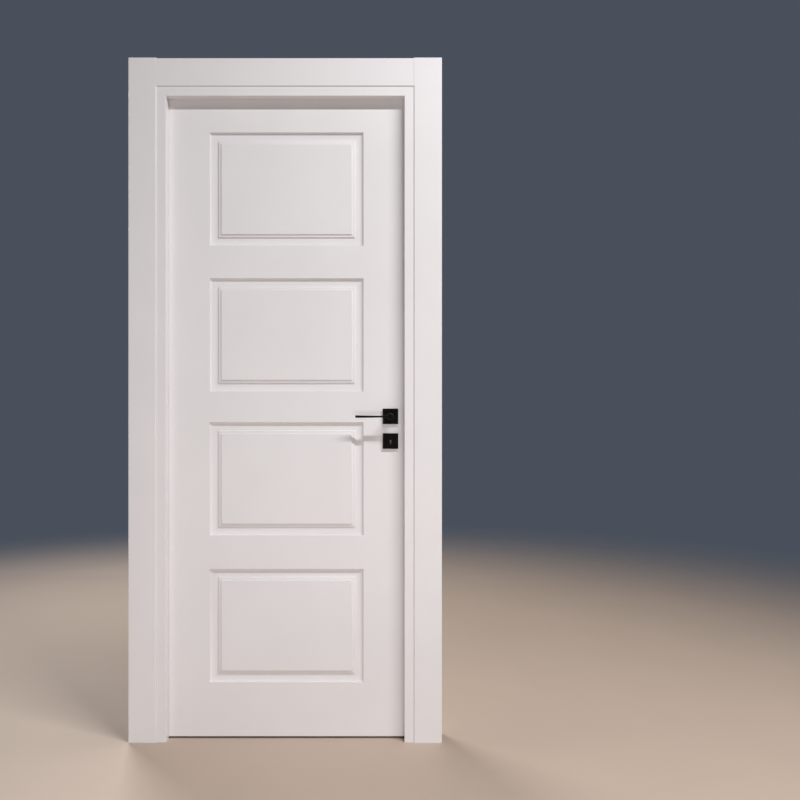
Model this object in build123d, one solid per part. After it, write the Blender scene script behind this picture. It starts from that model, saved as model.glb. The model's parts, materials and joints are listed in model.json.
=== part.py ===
from build123d import *
import os

# The origin is on the floor in the middle of the doorway, in the leaf's mid-plane. +Z is up, -Y is the
# side that the leaf is pushed from, -X is the hinge side and +X the lock side. Lengths are millimetres.

# Doorway
clear_w = 764.0
clear_h = 2071.5

# Lining
lining_t = 44.0
bare_band = 30.0
lining_round = 1.5
stop_d = 31.0
leaf_cover = 10.0

# Casing
casing_w = 90.0
casing_t = 12.0
casing_proud = 3.0
casing_inner_round = 3.5
casing_outer_round = 1.5
upright_rise = 1.5
tongue_t = 5.0
tongue_l = 16.0
tongue_inset = 3.0

# Leaf
leaf_t = 42.0
core_t = 20.0
edge_gap = 3.0
floor_gap = 6.0
hinge_stile_w = 60.0
lock_stile_w = 112.0
inner_rail_h = 75.0

# Panels, from the bottom up
stile_face = 143.0
bottom_face = 176.0
panel_h = 367.0
cross_faces = (109.0, 100.0, 106.0)

# Panel moulding, inward from the panel's outer edge
quirk_d = 1.2
moulding_d = 8.2
cove_w = 10.0
floor_w = 9.0
ramp_w = 8.6
ramp_rise = 1.2
riser_w = 1.4
tread_d = 4.4
tread_w = 8.4
tread_rise = 1.2
lip_d = 0.7
lip_w = 4.2

# Seal
seal_gap = 2.0
seal_w = 9.0
seal_root_w = 3.0
seal_root_l = 5.0
seal_air = 0.4

# Hinges
hinge_h = 100.0
hinge_plate_t = 2.5
hinge_plate_w = 30.0
barrel_r = 6.0
barrel_air = 1.0
knuckles = 5
knuckle_gap = 0.4
hinge_pin_r = 3.0
pin_cap_h = 3.0
hinge_inset = 150.0
hinge_screw_step = 26.0
hinge_screw_stagger = 8.0

# Screws
screw_head_r = 4.0
screw_r = 2.0
screw_l = 16.0
corner_screw_r = 2.5
corner_screw_l = 60.0
corner_screw_step = 14.0
fixing_hole_r = 3.0
fixing_spans = (1300.0, 600.0)
fixing_mid_z = 1050.0
head_fixing_span = 500.0

# Lock
lever_z = 1044.0
backset = 55.0
key_drop = 80.0
case_back = 33.0
case_top = 45.0
case_below_key = 40.0
case_wall = 1.5
mortise_wall = 2.0
forend_w = 18.0
forend_t = 3.0
forend_over = 35.0
latch_h = 22.0
latch_up = 14.0
latch_throw = 12.0
latch_body_l = 18.0
latch_tip_t = 2.4
latch_bar_h = 6.5
latch_bar_t = 4.0
lug_w = 5.0
lug_drop = 8.0
follower_r = 9.5
follower_collar_r = 8.5
follower_arm_w = 5.0
follower_arm_r = 17.0
deadbolt_h = 24.0
deadbolt_up = 8.0
deadbolt_body_l = 27.0
deadbolt_bar_l = 43.0
deadbolt_bar_h = 12.0
talon_w = 10.0
talon_h = 6.0
deadbolt_throw = 14.0
keyhole_r = 4.0
keyhole_slot_w = 4.4
keyhole_slot_l = 11.0

# Strike plate
strike_t = 2.0
strike_over = 22.0
strike_front = 12.0
strike_round = 4.0
strike_hole_side = 0.8
strike_pocket_air = 1.5

# Roses, levers and spindle
rose_w = 50.0
rose_t = 7.0
rose_wall = 1.5
rose_edge = 0.8
base_w = 46.0
base_t = 5.0
bolt_r = 2.0
bolt_head_r = 3.6
bolt_head_h = 2.0
bolt_side = 18.0
spindle_w = 8.0
spindle_end = 24.0
journal_r = 9.0
neck_r = 10.5
neck_round = 1.2
lever_out = 50.0
lever_reach = 112.0
bar_front = 1.5
bar_root_h = 5.6
bar_root_d = 9.0
bar_tip_h = 8.0
bar_tip_d = 8.5
flare_l = 26.0
flare_h = 17.0
grub_r = 2.5
grub_out = 14.0

# Clearances
fit_slide = 0.2
fit_running = 0.05
fit_screw = 0.1
fit_seat = 0.3
fit_way = 1.0

# Places that follow from the sizes above
leaf_front = -leaf_t / 2
leaf_back = leaf_t / 2
shoulder_y = leaf_front - seal_gap
lining_front = shoulder_y - stop_d
lining_back = leaf_back
casing_front = lining_front - casing_proud
casing_back = lining_back + casing_proud
clear_x = clear_w / 2
rebate = leaf_cover + edge_gap
rebate_x = clear_x + rebate
rebate_z = clear_h + rebate
bare_x = clear_x + bare_band
bare_z = clear_h + bare_band
lining_x = clear_x + lining_t
lining_z = clear_h + lining_t
casing_x = bare_x + casing_w
casing_z = bare_z + casing_w
tongue_x = bare_x + tongue_inset
leaf_x = clear_x + leaf_cover
leaf_top = clear_h + leaf_cover
core_y = core_t / 2
tongue_front_end = casing_front + casing_t + tongue_l
tongue_back_end = casing_back - casing_t - tongue_l
fixing_y = (tongue_front_end + tongue_back_end) / 2
pin_x = -(leaf_x + edge_gap / 2)
pin_y = leaf_back + barrel_air + barrel_r
plate_front = leaf_back - hinge_plate_w
hinge_zs = {
    "top": leaf_top - hinge_inset - hinge_h / 2,
    "middle": (leaf_top + floor_gap) / 2,
    "bottom": floor_gap + hinge_inset + hinge_h / 2,
}
lock_x = leaf_x - backset
key_z = lever_z - key_drop
case_y = core_y - mortise_wall - fit_slide
case_in = case_y - case_wall
bolt_y = case_in - fit_slide
case_zs = (key_z - case_below_key, lever_z + case_top)
case_xs = (lock_x - case_back, leaf_x - forend_t)
forend_zs = (case_zs[0] - forend_over, case_zs[1] + forend_over)
latch_zs = (lever_z + latch_up - latch_h / 2, lever_z + latch_up + latch_h / 2)
dead_zs = (key_z + deadbolt_up, key_z + deadbolt_up + deadbolt_h)


def block(x, y, z):
    """A box between two x, two y and two z values."""
    size = [abs(b - a) for a, b in (x, y, z)]
    middle = [(a + b) / 2 for a, b in (x, y, z)]
    return Pos(*middle) * Box(*size)


def rod_x(y, z, r, x):
    return Pos((x[0] + x[1]) / 2, y, z) * Rot(0, 90, 0) * Cylinder(r, abs(x[1] - x[0]))


def rod_y(x, z, r, y):
    return Pos(x, (y[0] + y[1]) / 2, z) * Rot(90, 0, 0) * Cylinder(r, abs(y[1] - y[0]))


def rod_z(x, y, r, z):
    return Pos(x, y, (z[0] + z[1]) / 2) * Cylinder(r, abs(z[1] - z[0]))


def both(low):
    """The same distance on either side of zero, as a low and a high value."""
    return (-low, low)


def mirrored(solid):
    """The same piece on the back of the leaf."""
    return mirror(solid, about=Plane.XZ)


def countersunk(fit=0.0):
    """A wood screw along -Z with its flat head at the origin, or the hole for it."""
    cone_h = screw_head_r - screw_r
    cone = Pos(0, 0, -cone_h / 2) * Cone(screw_r + fit, screw_head_r + fit, cone_h)
    shank_l = screw_l - cone_h + fit
    return cone + Pos(0, 0, -cone_h - shank_l / 2) * Cylinder(screw_r + fit, shank_l)


def facing(point, out):
    """The place of a screw whose head looks along out."""
    return Plane(origin=point, z_dir=out).location


def edges_through(solid, axis, spot):
    """The edges that run along an axis through a spot."""
    def off_line(edge):
        return (edge.center() - Vector(*spot)).cross(axis.direction).length

    return [edge for edge in solid.edges().filter_by(axis) if off_line(edge) < fit_running]


# Lining
def casing_rabbets(front):
    """What the three casings and their tongues take out of the lining on one side."""
    face, back = (casing_front, casing_front + casing_t) if front else (casing_back, casing_back - casing_t)
    end = tongue_front_end if front else tongue_back_end
    toe = end + (fit_seat if front else -fit_seat)
    tongue_out = tongue_x + tongue_t + fit_slide
    head_tongue = (bare_z + tongue_inset - fit_slide, bare_z + tongue_inset + tongue_t + fit_slide)
    cuts = [block(both(lining_x), (face, back), (bare_z, lining_z))]
    for side in (-1, 1):
        cuts.append(block((side * bare_x, side * lining_x), (face, back), (0, lining_z)))
        groove = (side * (tongue_x - fit_slide), side * tongue_out)
        cuts.append(block(groove, (back, toe), (0, lining_z)))
    cuts.append(block(both(clear_x), (back, toe), head_tongue))
    return cuts


def side_board(side):
    """One upright of the lining: the stop part and the thinner rebated part behind it."""
    span = (side * clear_x, side * lining_x)
    stop = block(span, (lining_front, shoulder_y), (0, clear_h))
    stop = fillet(edges_through(stop, Axis.Z, (side * clear_x, lining_front, 0)), lining_round)
    stop += block(span, (lining_front, shoulder_y), (clear_h, lining_z))
    rest = block((side * rebate_x, side * lining_x), (shoulder_y, lining_back), (0, lining_z))
    board = stop + rest
    for cut in casing_rabbets(True) + casing_rabbets(False):
        board -= cut
    board -= seal_groove_side(side)
    for z in corner_screw_zs():
        board -= corner_bore(side, z)
    for span in fixing_spans:
        for z in (fixing_mid_z - span / 2, fixing_mid_z + span / 2):
            board -= rod_x(fixing_y, z, fixing_hole_r, (side * rebate_x, side * lining_x))
    return board


def hinge_jamb():
    board = side_board(-1)
    for z in hinge_zs.values():
        board -= plate_recess(-rebate_x, -1, z)
        for hole in plate_screw_places(-rebate_x, 1, z):
            board -= hole * countersunk(fit_screw)
    return board


def lock_jamb():
    board = side_board(1) - strike_recess()
    for zs, throw in ((latch_zs, latch_throw), (dead_zs, deadbolt_throw)):
        board -= strike_hole(zs, strike_pocket_air, throw - edge_gap + strike_pocket_air)
    for place in strike_screw_places():
        board -= place * countersunk(fit_screw)
    return board


def head_jamb():
    stop = block(both(clear_x), (lining_front, shoulder_y), (clear_h, lining_z))
    stop = fillet(edges_through(stop, Axis.X, (0, lining_front, clear_h)), lining_round)
    rest = block(both(rebate_x), (shoulder_y, lining_back), (rebate_z, lining_z))
    board = stop + rest
    for cut in casing_rabbets(True) + casing_rabbets(False):
        board -= cut
    board -= block(both(clear_x), (shoulder_y - seal_root_l, shoulder_y), seal_root_span(clear_h))
    for side in (-1, 1):
        for z in corner_screw_zs():
            board -= corner_bore(side, z)
        board -= rod_z(side * head_fixing_span / 2, fixing_y, fixing_hole_r, (rebate_z, lining_z))
    return board


def corner_screw_zs():
    middle = (rebate_z + lining_z) / 2
    return (middle - corner_screw_step / 2, middle + corner_screw_step / 2)


def corner_bore(side, z):
    inner = lining_x - corner_screw_l - fit_screw
    return rod_x(fixing_y, z, corner_screw_r + fit_screw, (side * inner, side * lining_x))


def corner_screws():
    span = (lining_x - corner_screw_l, lining_x)
    places = [(side, z) for side in (-1, 1) for z in corner_screw_zs()]
    return [rod_x(fixing_y, z, corner_screw_r, (side * span[0], side * span[1])) for side, z in places]


# Casings
def upright_section(side, front):
    """A casing board's plan, with its tongue, for one side of the doorway."""
    face, back = (casing_front, casing_front + casing_t) if front else (casing_back, casing_back - casing_t)
    end = tongue_front_end if front else tongue_back_end
    xs = [bare_x + fit_slide, tongue_x, tongue_x + tongue_t, casing_x]
    corners = [
        (xs[0], face), (xs[3], face), (xs[3], back), (xs[2], back),
        (xs[2], end), (xs[1], end), (xs[1], back), (xs[0], back),
    ]
    return make_face(Polyline(*[(side * x, y) for x, y in corners], close=True).edges())


def upright_casing(side, front):
    """An upright, its inner edge rounded up to the head casing and its outer edge to the top."""
    height = casing_z + upright_rise
    face = casing_front if front else casing_back
    section = upright_section(side, front)
    board = extrude(section, amount=bare_z, dir=(0, 0, 1))
    inner_edge = (side * (bare_x + fit_slide), face, 0)
    board = fillet(edges_through(board, Axis.Z, inner_edge), casing_inner_round)
    board += Pos(0, 0, bare_z) * extrude(section, amount=height - bare_z, dir=(0, 0, 1))
    board -= block((side * bare_x, side * casing_x), tongue_span(front), (lining_z, height))
    return fillet(edges_through(board, Axis.Z, (side * casing_x, face, 0)), casing_outer_round)


def tongue_span(front):
    if front:
        return (casing_front + casing_t, tongue_front_end)
    return (tongue_back_end, casing_back - casing_t)


def head_casing(front):
    face = casing_front if front else casing_back
    back = casing_front + casing_t if front else casing_back - casing_t
    board = block(both(bare_x), (face, back), (bare_z + fit_slide, casing_z))
    tongue_z = bare_z + tongue_inset
    board += block(both(clear_x - fit_seat), tongue_span(front), (tongue_z, tongue_z + tongue_t))
    board = fillet(edges_through(board, Axis.X, (0, face, bare_z + fit_slide)), casing_inner_round)
    return fillet(edges_through(board, Axis.X, (0, face, casing_z)), casing_outer_round)


# Seals
def seal_root_span(edge):
    middle = edge + rebate / 2
    return (middle - seal_root_w / 2, middle + seal_root_w / 2)


def seal_groove_side(side):
    low, high = seal_root_span(clear_x)
    return block((side * low, side * high), (shoulder_y - seal_root_l, shoulder_y), (0, lining_z))


def seal_section(edge):
    """The seal across its length: a root in the groove and a soft half-round bulb on the shoulder."""
    middle = edge + rebate / 2
    low, high = seal_root_span(edge)
    tip = shoulder_y + seal_gap - seal_air
    bulb = (middle - seal_w / 2, middle + seal_w / 2)
    root_y = shoulder_y - seal_root_l + fit_slide
    outline = Polyline(
        (bulb[1], shoulder_y), (high, shoulder_y), (high, root_y),
        (low, root_y), (low, shoulder_y), (bulb[0], shoulder_y),
    )
    dome = ThreePointArc((bulb[0], shoulder_y), (middle, tip), (bulb[1], shoulder_y))
    return make_face(outline.edges() + dome.edges())


def side_seal(side):
    strip = extrude(seal_section(clear_x), amount=clear_h, dir=(0, 0, 1))
    return strip if side > 0 else mirror(strip, about=Plane.YZ)


def head_seal():
    strip = extrude(seal_section(clear_h), amount=clear_w, dir=(0, 0, 1))
    return Pos(clear_w / 2, 0, 0) * Rot(0, -90, 0) * strip


# Hinges
def plate_recess(edge_x, inward, z):
    """The seat for a hinge plate in a jamb or in the leaf's edge."""
    xs = (edge_x, edge_x + inward * hinge_plate_t)
    half = hinge_h / 2 + fit_slide
    return block(xs, (plate_front - fit_slide, leaf_back), (z - half, z + half))


def plate_screw_places(edge_x, out, z):
    places = []
    for i in range(4):
        shift = hinge_screw_stagger / 2 * (-1) ** i
        height = z + (i - 1.5) * hinge_screw_step
        places.append(facing((edge_x, shift, height), (out, 0, 0)))
    return places


def knuckle_spans(z, first):
    """The heights of every second knuckle, counted from the bottom."""
    pitch = (hinge_h + knuckle_gap) / knuckles
    low = z - hinge_h / 2
    return [(low + i * pitch, low + (i + 1) * pitch - knuckle_gap) for i in range(first, knuckles, 2)]


def hinge_plate(edge_x, inward, z, first):
    """A plate with its share of the knuckles, bored for the pin."""
    xs = (edge_x, edge_x + inward * hinge_plate_t)
    plate = block(xs, (plate_front, leaf_back), (z - hinge_h / 2, z + hinge_h / 2))
    for span in knuckle_spans(z, first):
        plate += block(xs, (leaf_back, pin_y), span) + rod_z(pin_x, pin_y, barrel_r, span)
    bore = (z - hinge_h / 2, z + hinge_h / 2)
    plate -= rod_z(pin_x, pin_y, hinge_pin_r + fit_running, bore)
    for place in plate_screw_places(edge_x, -inward, z):
        plate -= place * countersunk(fit_screw)
    return plate


def hinge_pin(z):
    low, high = z - hinge_h / 2, z + hinge_h / 2
    pin = rod_z(pin_x, pin_y, hinge_pin_r, (low, high))
    for foot, sign in ((high, 1), (low, -1)):
        cap = rod_z(pin_x, pin_y, barrel_r, (foot, foot + sign * pin_cap_h))
        rim = cap.faces().sort_by(Axis.Z)[-1 if sign > 0 else 0].edges()
        pin += fillet(rim, pin_cap_h / 2)
    return pin


def hinge_screws(edge_x, out):
    places = [p for z in hinge_zs.values() for p in plate_screw_places(edge_x, out, z)]
    return [place * countersunk() for place in places]


# Leaf
def panel_spans():
    """The height of each panel's lower and upper edge, from the bottom panel up."""
    low = floor_gap + bottom_face
    spans = []
    for face in cross_faces + (0.0,):
        spans.append((low, low + panel_h))
        low += panel_h + face
    return spans


def moulding_section(z_top, y_face):
    """What the router takes out at a panel's edge, drawn at the middle of the panel's top edge."""
    steps = [cove_w, floor_w, ramp_w, riser_w, tread_w, riser_w, lip_w]
    depths = [moulding_d, moulding_d, moulding_d - ramp_rise, tread_d, tread_d - tread_rise, lip_d, 0.0]
    inset = 0.0
    points = []
    for step, depth in zip(steps, depths):
        inset += step
        points.append((y_face + depth, z_top - inset))
    start = (y_face + quirk_d, z_top)
    bend = (y_face + quirk_d + (moulding_d - quirk_d) * 0.82, z_top - cove_w * 0.42)
    cove = ThreePointArc(start, bend, points[0])
    outline = Polyline(*points, (y_face - fit_way, z_top - inset), (y_face - fit_way, z_top), start)
    return Plane.YZ * make_face(cove.edges() + outline.edges())


def panel_cut(span, y_face):
    """The moulding's section run round one panel, with mitred corners."""
    low, high = span
    x = leaf_x - stile_face
    corners = [(0, high), (x, high), (x, low), (-x, low), (-x, high), (0, high)]
    path = Polyline(*[(px, y_face, pz) for px, pz in corners])
    return sweep(moulding_section(high, y_face), path=path, transition=Transition.RIGHT)


def front_face_board():
    board = block(both(leaf_x), (leaf_front, -core_y), (floor_gap, leaf_top))
    for span in panel_spans():
        board -= panel_cut(span, leaf_front)
    return board


def bored_for_furniture(board, ys, key_air):
    """Holes for the spindle, the key and the through bolts, between two depths."""
    board -= rod_y(lock_x, lever_z, neck_r, ys)
    board -= keyhole(ys, key_air)
    for x, z in bolt_places():
        board -= rod_y(x, z, bolt_r + fit_screw, ys)
    return board


def face_board(front):
    board = front_face_board() if front else mirrored(front_face_board())
    ys = (leaf_front, -core_y) if front else (core_y, leaf_back)
    board = bored_for_furniture(board, ys, fit_way)
    for z in hinge_zs.values():
        board -= plate_recess(-leaf_x, 1, z)
    return board


def hinge_stile():
    stile = block((-leaf_x, -leaf_x + hinge_stile_w), both(core_y), (floor_gap, leaf_top))
    for z in hinge_zs.values():
        stile -= plate_recess(-leaf_x, 1, z)
        for place in plate_screw_places(-leaf_x, -1, z):
            stile -= place * countersunk(fit_screw)
    return stile


def lock_stile():
    stile = block((leaf_x - lock_stile_w, leaf_x), both(core_y), (floor_gap, leaf_top))
    pocket_y = both(case_y + fit_slide)
    pocket_z = (case_zs[0] - fit_slide, case_zs[1] + fit_slide)
    stile -= block((case_xs[0] - fit_slide, leaf_x), pocket_y, pocket_z)
    stile -= forend_plate(fit_slide)
    stile = bored_for_furniture(stile, both(core_y), fit_way)
    for place in forend_screw_places():
        stile -= place * countersunk(fit_screw)
    return stile


def inner_rail(low, high):
    xs = (-leaf_x + hinge_stile_w, leaf_x - lock_stile_w)
    return block(xs, both(core_y), (low, high))


# Lock
def forend_plate(fit):
    half = forend_w / 2 + fit
    blank = block((leaf_x - forend_t, leaf_x), both(half), (forend_zs[0] - fit, forend_zs[1] + fit))
    return blank


def forend_screw_places():
    inset = forend_over / 2
    heights = (forend_zs[0] + inset, forend_zs[1] - inset)
    return [facing((leaf_x, 0, z), (1, 0, 0)) for z in heights]


def lock_forend():
    plate = forend_plate(0.0)
    plate = fillet(plate.edges().filter_by(Axis.X), forend_w / 4)
    for zs in (latch_zs, dead_zs):
        hole = (zs[0] - fit_slide, zs[1] + fit_slide)
        plate -= block((leaf_x - forend_t, leaf_x), both(bolt_y + fit_slide), hole)
    for place in forend_screw_places():
        plate -= place * countersunk(fit_screw)
    return plate


def keyhole(ys, air=0.0):
    """A round hole for the key's stem with a slot below it for the bit."""
    slot = block(
        (lock_x - keyhole_slot_w / 2 - air, lock_x + keyhole_slot_w / 2 + air),
        ys,
        (key_z - keyhole_slot_l - air, key_z),
    )
    return slot + rod_y(lock_x, key_z, keyhole_r + air, ys)


def lock_case():
    """A folded steel box, open towards the forend, with a bearing hole for the follower."""
    case = block(case_xs, both(case_y), case_zs)
    inside_x = (case_xs[0] + case_wall, case_xs[1])
    inside_z = (case_zs[0] + case_wall, case_zs[1] - case_wall)
    case -= block(inside_x, both(case_in), inside_z)
    case -= rod_y(lock_x, lever_z, follower_collar_r + fit_running, both(case_y))
    case -= keyhole(both(case_y), fit_slide)
    for x, z in bolt_places():
        case -= rod_y(x, z, bolt_r + fit_screw, both(case_y))
    return case


def latch_bolt():
    """The sprung bolt: a bevelled head, a bar over the follower and a lug that its arm pushes back."""
    low, high = latch_zs
    tip = leaf_x + latch_throw
    heel = leaf_x - forend_t - latch_body_l
    bevel_x = leaf_x + latch_tip_t
    outline = Polyline(
        (heel, bolt_y), (tip, bolt_y), (tip, bolt_y - latch_tip_t),
        (bevel_x, -bolt_y), (heel, -bolt_y), close=True,
    )
    head = Pos(0, 0, low) * extrude(make_face(outline.edges()), amount=high - low, dir=(0, 0, 1))
    lug_x = lock_x - follower_arm_w / 2 - fit_seat
    bar_z = (high - latch_bar_h, high)
    bar = block((lug_x - lug_w, heel), both(latch_bar_t / 2), bar_z)
    lug = block((lug_x - lug_w, lug_x), both(latch_bar_t / 2), (bar_z[0] - lug_drop, bar_z[0]))
    return head + bar + lug


def follower():
    """The cam that the spindle turns, with collars that bear in the case's walls."""
    hub = rod_y(lock_x, lever_z, follower_r, both(bolt_y))
    collar = rod_y(lock_x, lever_z, follower_collar_r, both(case_y))
    arm_x = (lock_x - follower_arm_w / 2, lock_x + follower_arm_w / 2)
    arm = block(arm_x, both(latch_bar_t / 2), (lever_z, lever_z + follower_arm_r))
    return hub + collar + arm - square_hole(both(case_y))


def square_hole(ys):
    half = spindle_w / 2 + fit_running
    return block((lock_x - half, lock_x + half), ys, (lever_z - half, lever_z + half))


def deadbolt():
    """The bolt that the key throws: a solid head and a bar with a notch for the key's bit."""
    heel = leaf_x - deadbolt_body_l
    head = block((heel, leaf_x), both(bolt_y), dead_zs)
    bar_z = (dead_zs[0], dead_zs[0] + deadbolt_bar_h)
    bar = block((heel - deadbolt_bar_l, heel), both(latch_bar_t / 2), bar_z)
    notch_x = (lock_x - talon_w / 2, lock_x + talon_w / 2)
    notch = block(notch_x, both(bolt_y), (dead_zs[0], dead_zs[0] + talon_h))
    return head + bar - notch


# Strike plate
def strike_zs():
    return (dead_zs[0] - strike_over, latch_zs[1] + strike_over)


def strike_plate_blank(fit):
    low, high = strike_zs()
    span = (-strike_front - fit, lining_back)
    return block((rebate_x, rebate_x + strike_t), span, (low - fit, high + fit))


def strike_recess():
    return strike_plate_blank(fit_slide)


def strike_hole(zs, air, depth):
    """One bolt's hole, from the rebate's face to a depth."""
    half = bolt_y + strike_hole_side + air
    z = (zs[0] - strike_hole_side - air, zs[1] + strike_hole_side + air)
    return block((rebate_x, rebate_x + depth), both(half), z)


def strike_screw_places():
    low, high = strike_zs()
    heights = (low + strike_over / 2, high - strike_over / 2)
    return [facing((rebate_x, 0, z), (-1, 0, 0)) for z in heights]


def strike_plate():
    plate = strike_plate_blank(0.0)
    front = [e for e in plate.edges().filter_by(Axis.X) if e.center().Y < 0]
    plate = fillet(front, strike_round)
    for zs in (latch_zs, dead_zs):
        plate -= strike_hole(zs, 0.0, strike_t)
    for place in strike_screw_places():
        plate -= place * countersunk(fit_screw)
    return plate


# Roses
def bolt_places():
    return [(lock_x + side * bolt_side, z) for z in (lever_z, key_z) for side in (-1, 1)]


def rose_base(z, key):
    """The clamped plate under a front rose, with sunk bolt heads."""
    ys = (leaf_front - base_t, leaf_front)
    half = base_w / 2
    base = block((lock_x - half, lock_x + half), ys, (z - half, z + half))
    for x, bolt_z in bolt_places():
        if bolt_z == z:
            base -= rod_y(x, z, bolt_r + fit_screw, ys)
            base -= rod_y(x, z, bolt_head_r + fit_screw, (ys[0], ys[0] + bolt_head_h))
    if key:
        return base - keyhole(ys, fit_way)
    return base - rod_y(lock_x, z, journal_r + fit_running, ys)


def rose_cover(z, key):
    """A square cap over a base, bored for the lever's neck or cut for the key."""
    half = rose_w / 2
    ys = (leaf_front - rose_t, leaf_front)
    cover = block((lock_x - half, lock_x + half), ys, (z - half, z + half))
    front = cover.faces().sort_by(Axis.Y)[0].edges()
    cover = fillet(list(cover.edges().filter_by(Axis.Y)) + list(front), rose_edge)
    inner = half - rose_wall
    inside_y = (leaf_front - rose_t + rose_wall, leaf_front)
    cover -= block((lock_x - inner, lock_x + inner), inside_y, (z - inner, z + inner))
    if key:
        return cover - keyhole(ys)
    return cover - rod_y(lock_x, z, neck_r + fit_seat, ys)


def rose_through_bolts():
    """Four bolts across the leaf, each with a flat head sunk in the base at either end."""
    ends = leaf_t / 2 + base_t
    bolts = []
    for x, z in bolt_places():
        bolt = rod_y(x, z, bolt_r, both(ends))
        for ys in ((-ends, -ends + bolt_head_h), (ends - bolt_head_h, ends)):
            bolt += rod_y(x, z, bolt_head_r, ys)
        bolts.append(bolt)
    return bolts


# Levers and spindle
def bar_face(x, y_middle, depth, height):
    """A rounded cross-section of the lever's bar at one x."""
    section = RectangleRounded(depth, height, min(depth, height) * 0.3)
    return Plane(origin=(x, y_middle, lever_z), x_dir=(0, 1, 0), z_dir=(-1, 0, 0)) * section


def front_lever():
    """The lever: a journal in the base, a round neck, a flare and a slim bar towards the hinges."""
    end_y = leaf_front - lever_out
    neck_y = leaf_front - base_t - fit_seat
    neck = rod_y(lock_x, lever_z, neck_r, (end_y, neck_y))
    neck = fillet(neck.faces().sort_by(Axis.Y)[0].edges(), neck_round)
    journal = rod_y(lock_x, lever_z, journal_r, (neck_y, leaf_front - fit_seat))
    middle = end_y + bar_front + bar_root_d / 2
    tip = lock_x - lever_reach
    flare = loft([
        bar_face(lock_x, middle, bar_root_d, flare_h),
        bar_face(lock_x - flare_l, middle, bar_root_d, bar_root_h),
    ])
    bar = loft([
        bar_face(lock_x - flare_l, middle, bar_root_d, bar_root_h),
        bar_face(tip, end_y + bar_front + bar_tip_d / 2, bar_tip_d, bar_tip_h),
    ])
    socket = (leaf_front - spindle_end - fit_seat, leaf_front)
    grub_y = leaf_front - grub_out
    lever = neck + journal + flare + bar - square_hole(socket)
    return lever - rod_z(lock_x, grub_y, grub_r + fit_screw, (lever_z - neck_r, lever_z))


def spindle():
    half = spindle_w / 2
    ys = both(leaf_t / 2 + spindle_end)
    return block((lock_x - half, lock_x + half), ys, (lever_z - half, lever_z + half))


def grub_screws():
    """Short screws up through each lever's neck, onto the spindle."""
    span = (lever_z - neck_r, lever_z - spindle_w / 2)
    y = leaf_t / 2 + grub_out
    return [rod_z(lock_x, side * y, grub_r, span) for side in (-1, 1)]


def frame_nodes():
    nodes = {"hinge_jamb": hinge_jamb(), "lock_jamb": lock_jamb(), "head_jamb": head_jamb()}
    for word, front in (("front", True), ("back", False)):
        nodes[f"hinge_{word}_casing"] = upright_casing(-1, front)
        nodes[f"lock_{word}_casing"] = upright_casing(1, front)
        nodes[f"head_{word}_casing"] = head_casing(front)
    nodes["hinge_seal"] = side_seal(-1)
    nodes["lock_seal"] = side_seal(1)
    nodes["head_seal"] = head_seal()
    nodes["corner_screws"] = corner_screws()
    nodes["strike_plate"] = strike_plate()
    nodes["strike_screws"] = [place * countersunk() for place in strike_screw_places()]
    for word, z in hinge_zs.items():
        nodes[f"{word}_hinge_frame_plate"] = hinge_plate(-rebate_x, -1, z, 0)
        nodes[f"{word}_hinge_pin"] = hinge_pin(z)
    nodes["frame_hinge_screws"] = hinge_screws(-rebate_x, 1)
    return nodes


def leaf_nodes():
    nodes = {"front_face_board": face_board(True), "back_face_board": face_board(False)}
    nodes["hinge_stile"] = hinge_stile()
    nodes["lock_stile"] = lock_stile()
    nodes["bottom_rail"] = inner_rail(floor_gap, floor_gap + inner_rail_h)
    nodes["top_rail"] = inner_rail(leaf_top - inner_rail_h, leaf_top)
    nodes["core_board"] = inner_rail(floor_gap + inner_rail_h, leaf_top - inner_rail_h)
    for word, z in hinge_zs.items():
        nodes[f"{word}_hinge_door_plate"] = hinge_plate(-leaf_x, 1, z, 1)
    nodes["door_hinge_screws"] = hinge_screws(-leaf_x, -1)
    return nodes


def lock_nodes():
    nodes = {"lock_case": lock_case(), "lock_forend": lock_forend()}
    nodes["forend_screws"] = [place * countersunk() for place in forend_screw_places()]
    nodes["latch_bolt"] = latch_bolt()
    nodes["deadbolt"] = deadbolt()
    nodes["follower"] = follower()
    for word, z, key in (("lever", lever_z, False), ("key", key_z, True)):
        nodes[f"front_{word}_rose_base"] = rose_base(z, key)
        nodes[f"front_{word}_rose_cover"] = rose_cover(z, key)
        nodes[f"back_{word}_rose_base"] = mirrored(rose_base(z, key))
        nodes[f"back_{word}_rose_cover"] = mirrored(rose_cover(z, key))
    nodes["rose_through_bolts"] = rose_through_bolts()
    nodes["front_lever"] = front_lever()
    nodes["back_lever"] = mirrored(front_lever())
    nodes["spindle"] = spindle()
    nodes["grub_screws"] = grub_screws()
    return nodes


def write(nodes):
    os.makedirs("parts", exist_ok=True)
    for name, shape in nodes.items():
        solids = shape if isinstance(shape, list) else [shape]
        pieces = [solid for item in solids for solid in item.solids()]
        export_step(Compound(children=pieces), f"parts/{name}.step")


write(frame_nodes())
write(leaf_nodes())
write(lock_nodes())
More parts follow.
